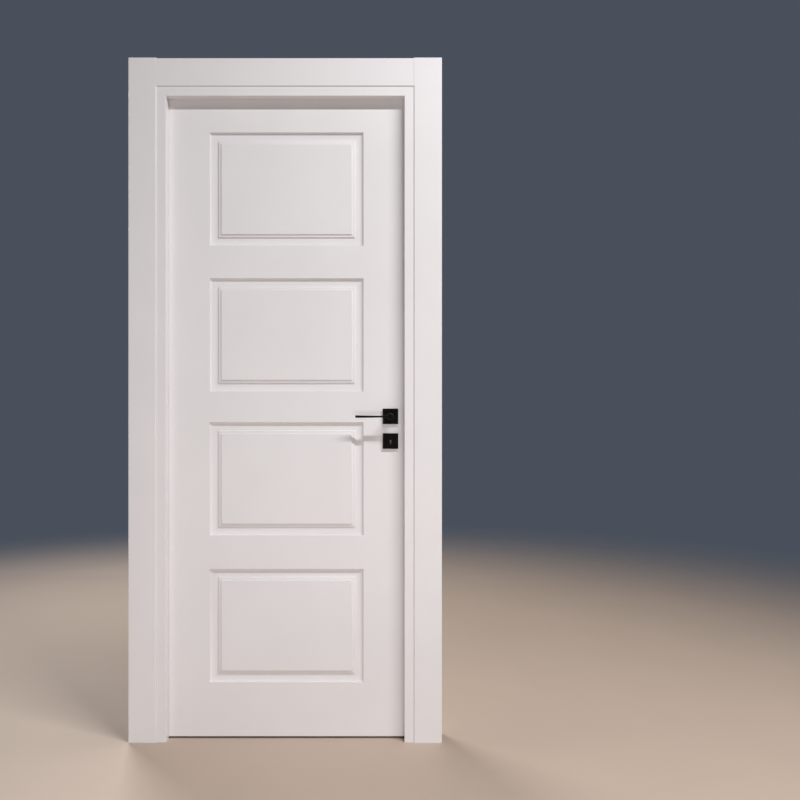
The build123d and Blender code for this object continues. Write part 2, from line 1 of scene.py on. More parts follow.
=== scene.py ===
import bpy
import json
from math import radians
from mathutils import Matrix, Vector


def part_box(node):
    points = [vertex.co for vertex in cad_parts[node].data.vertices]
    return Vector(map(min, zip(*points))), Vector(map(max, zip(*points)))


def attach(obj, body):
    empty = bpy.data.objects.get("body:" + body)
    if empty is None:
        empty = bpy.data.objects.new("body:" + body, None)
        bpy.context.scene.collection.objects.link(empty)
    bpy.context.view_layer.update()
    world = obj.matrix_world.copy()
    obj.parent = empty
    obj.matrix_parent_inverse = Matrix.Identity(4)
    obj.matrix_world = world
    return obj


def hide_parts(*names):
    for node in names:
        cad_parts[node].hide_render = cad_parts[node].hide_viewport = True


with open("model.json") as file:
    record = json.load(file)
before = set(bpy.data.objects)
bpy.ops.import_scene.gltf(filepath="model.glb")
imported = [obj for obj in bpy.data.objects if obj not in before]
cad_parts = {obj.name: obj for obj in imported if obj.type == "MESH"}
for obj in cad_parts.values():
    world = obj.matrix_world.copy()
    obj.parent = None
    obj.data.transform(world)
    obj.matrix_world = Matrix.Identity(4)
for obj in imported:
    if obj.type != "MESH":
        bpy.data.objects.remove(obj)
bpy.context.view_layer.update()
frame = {"nodes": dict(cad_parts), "record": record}

# Lengths are metres. -Y is the side that the leaf is pushed from, -X the hinge side, +X the lock side.
mm = 0.001

# How far a cutter or a joined block runs past a face, and how squarely a picked face looks along its axis
over = 1 * mm
facing = 0.9

# Sides of the large rounds, of the rods and screws, and of a small hole
round_sides = 64
rod_sides = 48
hole_sides = 24

# Play between pieces, and how deep a bare face's finish reaches
casing_gap = 0.2 * mm
seat_gap = 0.2 * mm
tongue_gap = 0.3 * mm
finish_skin = 0.3 * mm

# Leaf
board_low, board_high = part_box("front_face_board")
leaf_x = board_high.x
leaf_front = board_low.y
leaf_back = -leaf_front
leaf_bottom, leaf_top = board_low.z, board_high.z
stile_face = 143 * mm
panel_x = leaf_x - stile_face
bottom_face = 176 * mm
panel_h = 367 * mm
cross_faces = (109 * mm, 100 * mm, 106 * mm)
leaf_arris = 0.7 * mm

# Panel moulding, inward from the panel's edge: a wall, a shallow scoop, two steps up with a slope between
# them, and a lip up to the panel's field
wall_w = 0.4 * mm
wall_d = 5.4 * mm
scoop_end = 27.8 * mm
scoop_bottom = 19.0 * mm
moulding_d = 8.5 * mm
scoop_steps = 12
moulding_steps = (
    (0.6 * mm, 3.3 * mm),
    (8.2 * mm, 1.0 * mm),
    (0.6 * mm, 3.0 * mm),
)
lip_w = 5.4 * mm
lacquer_round = 0.35 * mm

# Lock furniture
cover_low, cover_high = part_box("front_lever_rose_cover")
key_low, key_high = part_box("front_key_rose_cover")
lock_x = (cover_low.x + cover_high.x) / 2
lever_z = (cover_low.z + cover_high.z) / 2
key_z = (key_low.z + key_high.z) / 2
rose_wall = 1.5 * mm
rose_edge = 1.0 * mm
neck_r = 10.5 * mm
neck_air = 0.3 * mm
rose_hole_edge = 0.15 * mm
keyhole_r = 4.0 * mm
keyhole_air = 1.0 * mm
keyhole_slot_w = 4.4 * mm
keyhole_slot_l = 11.0 * mm

# Lever
lever_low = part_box("front_lever")[0]
bar_front = 1.5 * mm
bar_depths = (9 * mm, 8.5 * mm)
bar_heights = (5.6 * mm, 8.0 * mm)
flare_l = 26 * mm
flare_h = 17 * mm
bar_stub = 4 * mm
bar_steps = 14
bar_pace = 1.3
bar_round = 1.7 * mm
neck_round = 2.2 * mm
neck_edge = 0.5 * mm
journal_r = 9 * mm
base_t = 5 * mm
spindle_w = 8.1 * mm
spindle_end = 24.3 * mm
journal_bite = 2 * mm
grub_out = 14 * mm
grub_hole_r = 2.6 * mm

# Casings
casing_inner_round = 3.5 * mm
casing_outer_round = 1.5 * mm
casing_t = 12 * mm
casing_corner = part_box("head_front_casing")[0].z - casing_gap
casing_seam = 1.1 * mm
tongue_t = 5 * mm
tongue_inset = 3 * mm
tongue_bite = 2 * mm

# Hinges
hinge_words = ("top", "middle", "bottom")
hinge_low, hinge_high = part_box("top_hinge_frame_plate")
hinge_half = (hinge_high.z - hinge_low.z) / 2
hinge_z = hinge_low.z + hinge_half
edge_gap = 3 * mm
plate_t = 2.5 * mm
plate_edge = 0.25 * mm
barrel_r = 6 * mm
barrel_edge = 0.35 * mm
pin_low, pin_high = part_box("top_hinge_pin")
pin_x, pin_y = (pin_low.x + pin_high.x) / 2, (pin_low.y + pin_high.y) / 2
pin_r = 3 * mm
pin_air = 0.05 * mm
cap_round = 1.5 * mm
knuckles = 5
knuckle_gap = 0.4 * mm
hinge_screw_step = 26 * mm
hinge_screw_shift = 4 * mm

# Screws
screw_head_r = 4 * mm
screw_r = 2 * mm
screw_l = 16 * mm
screw_air = 0.1 * mm
screw_tip = 1.2 * mm
funnel_rim = 0.5 * mm
cross_w = 0.9 * mm
cross_l = 4.6 * mm
cross_d = 1.4 * mm
cross_turn_degrees = 37

# Bolts, forend and strike plate
latch_low, latch_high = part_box("latch_bolt")
dead_low, dead_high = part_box("deadbolt")
latch_heel = leaf_x - 21 * mm
latch_slope = (2.4 * mm, 9.6 * mm)
latch_bar_h = 6.5 * mm
bar_half = 2 * mm
lug_w = 5 * mm
lug_drop = 8 * mm
dead_heel = leaf_x - 27 * mm
dead_bar_h = 12 * mm
talon_w = 10 * mm
talon_h = 6 * mm
bolt_edge = 0.5 * mm
lock_plate_edge = 0.2 * mm
lock_screw_d = 5 * mm
forend_air = 0.2 * mm
forend_round = 4.5 * mm
forend_screw_in = 17.5 * mm
strike_air = 0.8 * mm
strike_round = 4 * mm
strike_screw_in = 11 * mm
pocket_half = 8.8 * mm

# Camera and stage
eye = (0.3678, -2.720, 1.097)
lens = 37.44
floor_reach = 9.0
floor_fade = (1.3, 5.0)


def alone(piece):
    """Makes one piece the only selected one."""
    bpy.ops.object.select_all(action="DESELECT")
    piece.select_set(True)
    bpy.context.view_layer.objects.active = piece
    return piece


def placed(name):
    """Names the piece just added and moves its place into its mesh."""
    piece = bpy.context.object
    piece.name = name
    alone(piece)
    bpy.ops.object.transform_apply(location=True, rotation=True, scale=True)
    return piece


def blank(name, low, high):
    """A block between two corners."""
    middle = [(a + b) / 2 for a, b in zip(low, high)]
    size = [b - a for a, b in zip(low, high)]
    bpy.ops.object.select_all(action="DESELECT")
    bpy.ops.mesh.primitive_cube_add(size=1, location=middle, scale=size)
    return placed(name)


def rod(name, start, end, radius, sides=rod_sides):
    """A round bar between two points, straight along one axis."""
    along = Vector(end) - Vector(start)
    turn = along.to_track_quat("Z", "Y").to_euler()
    bpy.ops.object.select_all(action="DESELECT")
    bpy.ops.mesh.primitive_cylinder_add(
        vertices=sides, radius=radius, depth=along.length,
        location=(Vector(start) + Vector(end)) / 2, rotation=turn,
    )
    return placed(name)


def pick_faces(piece, wanted):
    """Opens a piece for editing with the faces selected whose middle and normal are wanted."""
    alone(piece)
    mesh = piece.data
    for group in (mesh.vertices, mesh.edges, mesh.polygons):
        group.foreach_set("select", [False] * len(group))
    for face in mesh.polygons:
        face.select = wanted(face.center, face.normal)
    bpy.context.tool_settings.mesh_select_mode = (False, False, True)
    bpy.ops.object.mode_set(mode="EDIT")


def pick_edges(piece, wanted):
    """Opens a piece for editing with the edges selected whose two ends are wanted."""
    alone(piece)
    mesh = piece.data
    for group in (mesh.vertices, mesh.edges, mesh.polygons):
        group.foreach_set("select", [False] * len(group))
    for edge in mesh.edges:
        a, b = (mesh.vertices[i].co for i in edge.vertices)
        edge.select = wanted(a, b)
    bpy.context.tool_settings.mesh_select_mode = (False, True, False)
    bpy.ops.object.mode_set(mode="EDIT")


def pick_all(piece):
    """Opens a piece for editing with all of it selected."""
    alone(piece)
    bpy.ops.object.mode_set(mode="EDIT")
    bpy.ops.mesh.select_all(action="SELECT")


def close(piece):
    """Leaves editing."""
    bpy.ops.object.mode_set(mode="OBJECT")
    return piece


def near(a, b, room=0.01 * mm):
    """Whether two lengths are the same."""
    return abs(a - b) < room


def sliced(piece, axis, places):
    """Cuts the whole piece along planes across one axis."""
    for place in places:
        pick_all(piece)
        point = [0.0, 0.0, 0.0]
        point[axis] = place
        normal = [0.0, 0.0, 0.0]
        normal[axis] = 1.0
        bpy.ops.mesh.bisect(plane_co=point, plane_no=normal)
        close(piece)


def carved(piece, cutter, way="DIFFERENCE"):
    """Takes the cutter out of a piece, or joins it on, and clears the cutter away."""
    alone(piece)
    step = piece.modifiers.new("cut", "BOOLEAN")
    step.operation = way
    step.object = cutter
    step.solver = "EXACT"
    bpy.ops.object.modifier_apply(modifier=step.name)
    bpy.data.objects.remove(cutter)
    return piece


def softened(piece, width, segments=2, angle=30):
    """Rounds every edge that turns by more than an angle."""
    alone(piece)
    step = piece.modifiers.new("soften", "BEVEL")
    step.width = width
    step.segments = segments
    step.limit_method = "ANGLE"
    step.angle_limit = radians(angle)
    step.use_clamp_overlap = True
    bpy.ops.object.modifier_apply(modifier=step.name)
    return piece


def smoothed(piece, angle=35):
    """Shades a piece smooth, apart from the edges that turn by more than an angle."""
    alone(piece)
    bpy.ops.object.shade_smooth_by_angle(angle=radians(angle))
    return piece


def evened(piece):
    """Keeps the large flat faces evenly lit beside their rounded edges."""
    alone(piece)
    step = piece.modifiers.new("even", "WEIGHTED_NORMAL")
    step.keep_sharp = True
    bpy.ops.object.modifier_apply(modifier=step.name)
    return piece


def flipped(piece, name):
    """A copy of a piece, mirrored to the back of the leaf."""
    alone(piece)
    bpy.ops.object.duplicate()
    copy = bpy.context.object
    copy.name = name
    copy.scale = (1, -1, 1)
    bpy.ops.object.transform_apply(location=True, rotation=True, scale=True)
    pick_all(copy)
    bpy.ops.mesh.normals_make_consistent(inside=False)
    return close(copy)


# Finishes
def finish_base(name, roughness, metallic=0.0, specular=0.5):
    """A new material with its shader, its node tree and its object coordinates."""
    material = bpy.data.materials.new(name)
    material.use_nodes = True
    tree = material.node_tree
    shader = tree.nodes["Principled BSDF"]
    shader.inputs["Roughness"].default_value = roughness
    shader.inputs["Metallic"].default_value = metallic
    shader.inputs["Specular IOR Level"].default_value = specular
    place = tree.nodes.new("ShaderNodeTexCoord")
    return material, tree, shader, place.outputs["Object"]


def noise(tree, place, scale, detail=2.0, stretch=(1, 1, 1)):
    """Noise at so many spots a metre, stretched along the axes."""
    mapping = tree.nodes.new("ShaderNodeMapping")
    mapping.inputs["Scale"].default_value = stretch
    tree.links.new(place, mapping.inputs["Vector"])
    spots = tree.nodes.new("ShaderNodeTexNoise")
    spots.inputs["Scale"].default_value = scale
    spots.inputs["Detail"].default_value = detail
    tree.links.new(mapping.outputs["Vector"], spots.inputs["Vector"])
    return spots.outputs["Fac"]


def ramp(tree, value, stops):
    """Turns a value into a colour by (place, colour) stops."""
    node = tree.nodes.new("ShaderNodeValToRGB")
    band = node.color_ramp
    band.elements[0].position, band.elements[0].color = stops[0][0], (*stops[0][1], 1)
    band.elements[1].position, band.elements[1].color = stops[-1][0], (*stops[-1][1], 1)
    for position, colour in stops[1:-1]:
        band.elements.new(position).color = (*colour, 1)
    tree.links.new(value, node.inputs["Fac"])
    return node.outputs["Color"]


def spread(tree, value, low, high):
    """Maps a 0 to 1 value to a range."""
    node = tree.nodes.new("ShaderNodeMapRange")
    node.inputs["To Min"].default_value = low
    node.inputs["To Max"].default_value = high
    tree.links.new(value, node.inputs["Value"])
    return node.outputs["Result"]


def relief(tree, shader, height, strength, depth):
    """Raises a finish by a value, so deep at most."""
    bump = tree.nodes.new("ShaderNodeBump")
    bump.inputs["Strength"].default_value = strength
    bump.inputs["Distance"].default_value = depth
    tree.links.new(height, bump.inputs["Height"])
    tree.links.new(bump.outputs["Normal"], shader.inputs["Normal"])


def shades(colour, share):
    """A colour a little darker and a little lighter."""
    return [tuple(c * (1 + s * share) for c in colour) for s in (-1, 1)]


def tinted(tree, shader, value, colour, share):
    """Varies a finish's colour a little by a value."""
    dark, light = shades(colour, share)
    tree.links.new(ramp(tree, value, [(0.3, dark), (0.7, light)]), shader.inputs["Base Color"])


def lacquer(name, colour, raw=None):
    """Satin lacquer with a faint orange peel on fine fibreboard, which is bare where raw says so."""
    material, tree, shader, place = finish_base(name, 0.34, specular=0.5)
    dark, light = shades(colour, 0.012)
    cloud = noise(tree, place, 5, 3)
    coat = ramp(tree, cloud, [(0.35, dark), (0.65, light)])
    gloss = spread(tree, noise(tree, place, 18, 3), 0.30, 0.40)
    peel = noise(tree, place, 260, 1)
    if raw:
        bare = raw(tree, place)
        coat = mixed(tree, bare, coat, fibreboard(tree, place))
        gloss = mixed_value(tree, bare, gloss, 0.85)
    tree.links.new(coat, shader.inputs["Base Color"])
    tree.links.new(gloss, shader.inputs["Roughness"])
    relief(tree, shader, peel, 0.10, 0.05 * mm)
    return material


def fibreboard(tree, place):
    """The colour of bare fibreboard."""
    fibres = noise(tree, place, 1400, 4)
    return ramp(tree, fibres, [
        (0.3, (0.30, 0.20, 0.12)), (0.55, (0.43, 0.31, 0.20)), (0.75, (0.52, 0.40, 0.28)),
    ])


def mixed(tree, share, a, b):
    """Goes from one colour to another by a share."""
    node = tree.nodes.new("ShaderNodeMix")
    node.data_type = "RGBA"
    tree.links.new(share, node.inputs["Factor"])
    tree.links.new(a, node.inputs[6])
    tree.links.new(b, node.inputs[7])
    return node.outputs[2]


def mixed_value(tree, share, a, b):
    """Goes from a value to a number by a share."""
    node = tree.nodes.new("ShaderNodeMix")
    tree.links.new(share, node.inputs["Factor"])
    tree.links.new(a, node.inputs[2])
    node.inputs[3].default_value = b
    return node.outputs[0]


def maths(tree, what, a, b):
    """One operation on two values, each a socket or a number."""
    node = tree.nodes.new("ShaderNodeMath")
    node.operation = what
    for socket, value in zip(node.inputs, (a, b)):
        if isinstance(value, (int, float)):
            socket.default_value = value
        else:
            tree.links.new(value, socket)
    return node.outputs["Value"]


def axes(tree, place):
    """A place's three coordinates."""
    split = tree.nodes.new("ShaderNodeSeparateXYZ")
    tree.links.new(place, split.inputs["Vector"])
    return split.outputs


def lining_wall_side(tree, place):
    """The lining's outer faces, which lie against the wall, and the bolts' pockets."""
    low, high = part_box("hinge_jamb")
    across, deep, up = axes(tree, place)
    across = maths(tree, "ABSOLUTE", across, 0)
    side = maths(tree, "GREATER_THAN", across, -low.x - finish_skin)
    top = maths(tree, "GREATER_THAN", up, high.z - finish_skin)
    past_face = maths(tree, "GREATER_THAN", across, leaf_x + edge_gap + finish_skin)
    in_middle = maths(tree, "LESS_THAN", maths(tree, "ABSOLUTE", deep, 0), pocket_half)
    pocket = maths(tree, "MULTIPLY", past_face, in_middle)
    return maths(tree, "MAXIMUM", maths(tree, "MAXIMUM", side, top), pocket)


def casing_wall_side(tree, place):
    """The casings' back faces and tongues."""
    front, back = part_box("hinge_front_casing")[0].y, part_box("hinge_back_casing")[1].y
    middle = (front + back) / 2
    reach = (back - front) / 2 - casing_t + casing_gap
    deep = axes(tree, place)[1]
    return maths(tree, "LESS_THAN", maths(tree, "ABSOLUTE", maths(tree, "SUBTRACT", deep, middle), 0), reach)


def black_coat(name, roughness, grain):
    """Matt black coating on cast metal, with a fine even grain."""
    material, tree, shader, place = finish_base(name, roughness, specular=0.45)
    tinted(tree, shader, noise(tree, place, 90, 4), (0.0046, 0.0034, 0.0034), 0.18)
    gloss = spread(tree, noise(tree, place, 60, 3), roughness - 0.05, roughness + 0.06)
    tree.links.new(gloss, shader.inputs["Roughness"])
    relief(tree, shader, noise(tree, place, grain, 2), 0.25, 0.04 * mm)
    return material


def metal(name, colour, roughness, stretch, streaks):
    """Plated metal with fine drawn lines."""
    material, tree, shader, place = finish_base(name, roughness, metallic=1.0)
    lines = noise(tree, place, streaks, 3, stretch)
    tinted(tree, shader, lines, colour, 0.07)
    tree.links.new(spread(tree, lines, roughness - 0.07, roughness + 0.09), shader.inputs["Roughness"])
    relief(tree, shader, lines, 0.15, 0.03 * mm)
    return material


def chipboard(name):
    """Raw chipboard, with flat flakes in three browns."""
    material, tree, shader, place = finish_base(name, 0.85)
    flakes = tree.nodes.new("ShaderNodeTexVoronoi")
    flakes.inputs["Scale"].default_value = 450
    tree.links.new(place, flakes.inputs["Vector"])
    grey = tree.nodes.new("ShaderNodeSeparateColor")
    tree.links.new(flakes.outputs["Color"], grey.inputs["Color"])
    colour = ramp(tree, grey.outputs["Red"], [
        (0.0, (0.34, 0.23, 0.13)), (0.5, (0.50, 0.37, 0.22)), (1.0, (0.62, 0.49, 0.32)),
    ])
    tree.links.new(colour, shader.inputs["Base Color"])
    relief(tree, shader, noise(tree, place, 900, 4), 0.5, 0.3 * mm)
    return material


def soft_seal(name):
    """Off-white rubber with a fine grain."""
    material, tree, shader, place = finish_base(name, 0.55, specular=0.4)
    tinted(tree, shader, noise(tree, place, 40, 3), (0.74, 0.72, 0.69), 0.03)
    tree.links.new(spread(tree, noise(tree, place, 25, 2), 0.48, 0.62), shader.inputs["Roughness"])
    relief(tree, shader, noise(tree, place, 2200, 1), 0.2, 0.03 * mm)
    return material


white = (0.800, 0.772, 0.768)
finishes = {
    "lacquered_leaf": lacquer("leaf lacquer", white),
    "lacquered_lining": lacquer("lining lacquer", white, lining_wall_side),
    "lacquered_casing": lacquer("casing lacquer", white, casing_wall_side),
    "chipboard": chipboard("chipboard"),
    "white_seal": soft_seal("white seal"),
    "black_furniture": black_coat("black furniture", 0.30, 3200),
    "black_metal": black_coat("black metal", 0.42, 2400),
    "bright_bolt": metal("nickelled bolt", (0.70, 0.68, 0.64), 0.24, (0.15, 1, 1), 900),
    "zinc_steel": metal("zinc-plated steel", (0.62, 0.62, 0.58), 0.38, (1, 1, 0.2), 700),
    "zinc_screws": metal("zinc-plated screws", (0.64, 0.62, 0.56), 0.34, (1, 1, 1), 1200),
}
parts = frame["record"]["subparts"]
slots = {part["node"]: part["material_slot"] for part in parts}


def body_of_node(node):
    """The body that a node belongs to."""
    bodies = frame["record"]["behaviour"]["bodies"]
    return next(body for body, nodes in bodies.items() if node in nodes)


def fitted(piece, *nodes):
    """Gives a finished piece its finish and its body, and hides the nodes that it stands for."""
    evened(piece)
    piece.data.materials.clear()
    piece.data.materials.append(finishes[slots[nodes[0]]])
    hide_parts(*nodes)
    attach(piece, body_of_node(nodes[0]))
    return piece


for node, piece in frame["nodes"].items():
    piece.data.materials.clear()
    piece.data.materials.append(finishes[slots[node]])


# Leaf
def panel_spans():
    """The height of each panel's lower and upper edge, from the bottom panel up."""
    low = leaf_bottom + bottom_face
    spans = []
    for face in (*cross_faces, 0.0):
        spans.append((low, low + panel_h))
        low += panel_h + face
    return spans


def moulding_profile():
    """Inset and drop of each step of the routed moulding, from the panel's edge inward."""
    hollow = (moulding_d - wall_d) / (scoop_bottom - wall_w) ** 2
    places = [(wall_w, wall_d)]
    for i in range(1, scoop_steps + 1):
        reach = wall_w + (scoop_end - wall_w) * i / scoop_steps
        places.append((reach, moulding_d - hollow * (reach - scoop_bottom) ** 2))
    for step, rise in moulding_steps:
        places.append((places[-1][0] + step, places[-1][1] - rise))
    places.append((places[-1][0] + lip_w, 0.0))
    return [(b[0] - a[0], b[1] - a[1]) for a, b in zip([(0.0, 0.0)] + places, places)]


def face_board():
    """The front board with its four routed panels, and the holes for the lock's furniture."""
    board = blank("leaf_front_board", board_low, board_high)
    spans = panel_spans()
    sliced(board, 0, (-panel_x, panel_x))
    sliced(board, 2, [z for span in spans for z in span])

    def on_panel(middle, normal):
        inside = any(low < middle.z < high for low, high in spans)
        return normal.y < -facing and abs(middle.x) < panel_x and inside

    pick_faces(board, on_panel)
    for step, drop in moulding_profile():
        bpy.ops.mesh.inset(thickness=step, depth=-drop, use_individual=True)
    close(board)
    round_leaf_edges(board)
    inner_y = board_high.y + over
    outer_y = board_low.y - over
    carved(board, rod("hole", (lock_x, outer_y, lever_z), (lock_x, inner_y, lever_z), neck_r))
    carved(board, keyhole_tool((outer_y, inner_y), keyhole_air))
    softened(board, lacquer_round, 2, 35)
    return smoothed(board)


def round_leaf_edges(board):
    """Eases the arris all round the leaf's face."""
    def on_rim(a, b):
        on_face = near(a.y, board_low.y) and near(b.y, board_low.y)
        upright = near(abs(a.x), leaf_x) and near(abs(b.x), leaf_x)
        level = any(near(a.z, z) and near(b.z, z) for z in (leaf_bottom, leaf_top))
        return on_face and (upright or level)

    pick_edges(board, on_rim)
    bpy.ops.mesh.bevel(offset=leaf_arris, segments=3, affect="EDGES")
    close(board)


def keyhole_tool(ys, air=0.0):
    """The solid that cuts a keyhole: a round for the stem and a slot for the bit."""
    stem = rod("keyhole", (lock_x, ys[0], key_z), (lock_x, ys[1], key_z), keyhole_r + air)
    half = keyhole_slot_w / 2 + air
    low = (lock_x - half, ys[0], key_z - keyhole_slot_l - air)
    return carved(stem, blank("slot", low, (lock_x + half, ys[1], key_z)), "UNION")


def hinge_seats(board):
    """Cuts the seats of the three hinge plates out of the back board's edge."""
    for word in hinge_words:
        low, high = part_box(f"{word}_hinge_door_plate")
        seat_low = (-leaf_x - over, low.y - seat_gap, low.z - seat_gap)
        seat_high = (-leaf_x + plate_t, leaf_back + over, high.z + seat_gap)
        carved(board, blank("seat", seat_low, seat_high))
    return board


front_board = face_board()
back_board = hinge_seats(flipped(front_board, "leaf_back_board"))
fitted(front_board, "front_face_board")
fitted(back_board, "back_face_board")


# Casings
def casing(name, node, front, upright):
    """A flat board with its inner edge well rounded up to the corner, and its outer edge and seam eased."""
    low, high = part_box(node)
    show = low.y if front else high.y
    wall = show + casing_t if front else show - casing_t
    board = blank(name, (low.x, min(show, wall), low.z), (high.x, max(show, wall), high.z))
    across = 0 if upright else 2
    inner, outer = sorted((low[across], high[across]), key=abs)
    stop = casing_corner if upright else high.z
    if upright:
        sliced(board, 2, (stop,))
    rounds = [
        (across, inner, casing_inner_round, 8, (low.z, stop)),
        (across, outer, casing_outer_round, 4, (low.z, high.z)),
    ]
    if upright:
        rounds.append((across, inner, casing_seam, 3, (stop, high.z)))
    else:
        rounds += [(0, end.x, casing_seam, 3, (low.z, high.z)) for end in (low, high)]
    for axis, place, width, steps, (foot, top) in rounds:
        def on_edge(a, b):
            on_face = near(a.y, show) and near(b.y, show) and near(a[axis], place) and near(b[axis], place)
            return on_face and all(foot < z < top or near(z, foot) or near(z, top) for z in (a.z, b.z))

        pick_edges(board, on_edge)
        bpy.ops.mesh.bevel(offset=width, segments=steps, affect="EDGES")
        close(board)
    return board, wall


def tongued(board, wall, front, tip, low, high):
    """Adds the tongue that pushes into the lining, between two corners given as (x, z)."""
    ys = sorted((wall + (-1 if front else 1) * tongue_bite, tip))
    tongue = blank("tongue", (low[0], ys[0], low[1]), (high[0], ys[1], high[1]))
    return smoothed(carved(board, tongue, "UNION"))


def upright_casing(word, front):
    """The casing beside the hinge or the lock jamb."""
    way = "front" if front else "back"
    node = f"{word}_{way}_casing"
    board, wall = casing(f"{word}_casing_{way}", node, front, True)
    low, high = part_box(node)
    side = -1 if high.x < 0 else 1
    inner = min(abs(low.x), abs(high.x)) - casing_gap + tongue_inset
    xs = sorted((side * inner, side * (inner + tongue_t)))
    tip = high.y if front else low.y
    lining_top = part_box("hinge_jamb")[1].z
    return fitted(tongued(board, wall, front, tip, (xs[0], low.z), (xs[1], lining_top)), node)


def head_casing(front):
    """The casing over the door, between the two uprights."""
    way = "front" if front else "back"
    node = f"head_{way}_casing"
    board, wall = casing(f"head_casing_{way}", node, front, False)
    low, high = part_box(node)
    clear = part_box("head_seal")[1].x - tongue_gap
    foot = low.z - casing_gap + tongue_inset
    tip = high.y if front else low.y
    return fitted(tongued(board, wall, front, tip, (-clear, foot), (clear, foot + tongue_t)), node)


for is_front in (True, False):
    upright_casing("hinge", is_front)
    upright_casing("lock", is_front)
    head_casing(is_front)


# Roses
def rose_cover(name, node, z, key):
    """A thin square cap, hollow behind, with a soft edge and a hole for the lever's neck or the key."""
    low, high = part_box(node)
    cap = blank(name, low, high)
    pick_faces(cap, lambda middle, normal: normal.y > facing)
    bpy.ops.mesh.inset(thickness=rose_wall, depth=0)
    bpy.ops.mesh.extrude_region_move(TRANSFORM_OT_translate={"value": (0, low.y - high.y + rose_wall, 0)})
    close(cap)

    def on_outer_edge(a, b):
        on_face = near(a.y, low.y) and near(b.y, low.y)
        corners = [near(abs(p.x - lock_x), (high.x - low.x) / 2) and near(abs(p.z - z), (high.z - low.z) / 2)
                   for p in (a, b)]
        return on_face or (all(corners) and not near(a.y, b.y))

    pick_edges(cap, on_outer_edge)
    bpy.ops.mesh.bevel(offset=rose_edge, segments=4, affect="EDGES")
    close(cap)
    ys = (low.y - over, high.y + over)
    if key:
        carved(cap, keyhole_tool(ys))
    else:
        carved(cap, rod("hole", (lock_x, ys[0], z), (lock_x, ys[1], z), neck_r + neck_air, round_sides))
    softened(cap, rose_hole_edge, 2, 50)
    return smoothed(cap)


for word, height, for_key in (("lever", lever_z, False), ("key", key_z, True)):
    cap = rose_cover(f"front_{word}_rose", f"front_{word}_rose_cover", height, for_key)
    back_cap = flipped(cap, f"back_{word}_rose")
    fitted(cap, f"front_{word}_rose_cover")
    fitted(back_cap, f"back_{word}_rose_cover")


# Levers
def lever_bar():
    """The bar, drawn out of a short block in steps: a flare, a slim part and a taller tip."""
    end_y = lever_low.y
    reach = lock_x - lever_low.x

    def height(run):
        if run < flare_l:
            share = (1 - run / flare_l) ** 2
            return bar_heights[0] + (flare_h - bar_heights[0]) * share
        share = (run - flare_l) / (reach - flare_l)
        return bar_heights[0] + (bar_heights[1] - bar_heights[0]) * share

    def depth(run):
        share = max(0.0, (run - flare_l) / (reach - flare_l))
        return bar_depths[0] + (bar_depths[1] - bar_depths[0]) * share

    front = end_y + bar_front
    low = (lock_x - bar_stub, front, lever_z - height(bar_stub) / 2)
    bar = blank("bar", low, (lock_x, front + depth(bar_stub), lever_z + height(bar_stub) / 2))
    runs = [bar_stub + (reach - bar_stub) * (i / bar_steps) ** bar_pace for i in range(bar_steps + 1)]
    pick_faces(bar, lambda middle, normal: normal.x < -facing)
    for a, b in zip(runs, runs[1:]):
        bpy.ops.mesh.extrude_region_move(TRANSFORM_OT_translate={"value": (a - b, 0, 0)})
        scale = (1, depth(b) / depth(a), height(b) / height(a))
        bpy.ops.transform.resize(value=scale, center_override=(lock_x - b, front, lever_z))
    close(bar)
    tip_x = lever_low.x
    pick_edges(bar, lambda a, b: not near(a.x, b.x) or (near(a.x, tip_x) and near(b.x, tip_x)))
    bpy.ops.mesh.bevel(offset=bar_round, segments=4, affect="EDGES")
    return close(bar)


def front_lever():
    """A round neck with a soft end, its journal, the bar, the spindle's socket and the grub hole."""
    rose_face = leaf_front - base_t - neck_air
    ends = ((lock_x, lever_low.y, lever_z), (lock_x, rose_face, lever_z))
    neck = rod("front_lever_handle", *ends, neck_r, round_sides)
    pick_edges(neck, lambda a, b: near(a.y, lever_low.y) and near(b.y, lever_low.y))
    bpy.ops.mesh.bevel(offset=neck_round, segments=6, affect="EDGES")
    close(neck)
    carved(neck, lever_bar(), "UNION")
    inner = (lock_x, leaf_front - neck_air, lever_z)
    carved(neck, rod("journal", (lock_x, rose_face - journal_bite, lever_z), inner, journal_r), "UNION")
    half = spindle_w / 2
    socket_low = (lock_x - half, leaf_front - spindle_end, lever_z - half)
    carved(neck, blank("socket", socket_low, (lock_x + half, leaf_front + over, lever_z + half)))
    grub_y = leaf_front - grub_out
    hole = ((lock_x, grub_y, lever_z - neck_r - over), (lock_x, grub_y, lever_z))
    carved(neck, rod("grub hole", *hole, grub_hole_r, hole_sides))
    softened(neck, neck_edge, 3, 40)
    return smoothed(neck)


lever = front_lever()
back_lever = flipped(lever, "back_lever_handle")
fitted(lever, "front_lever")
fitted(back_lever, "back_lever")


# Screws
def turned_pin(name, head, out, radii, lengths):
    """A round pin with a tapering head. The head looks along X, forwards or back as out is 1 or -1."""
    x, y, z = head
    bpy.ops.object.select_all(action="DESELECT")
    bpy.ops.mesh.primitive_cone_add(
        vertices=rod_sides, radius1=radii[0], radius2=radii[1], depth=lengths[0],
        location=(x - out * lengths[0] / 2, y, z), rotation=(0, radians(-90 * out), 0),
    )
    pin = placed(name)
    pick_faces(pin, lambda middle, normal: normal.x * out < -facing)
    bpy.ops.mesh.extrude_region_move(TRANSFORM_OT_translate={"value": (-out * lengths[1], 0, 0)})
    return close(pin)


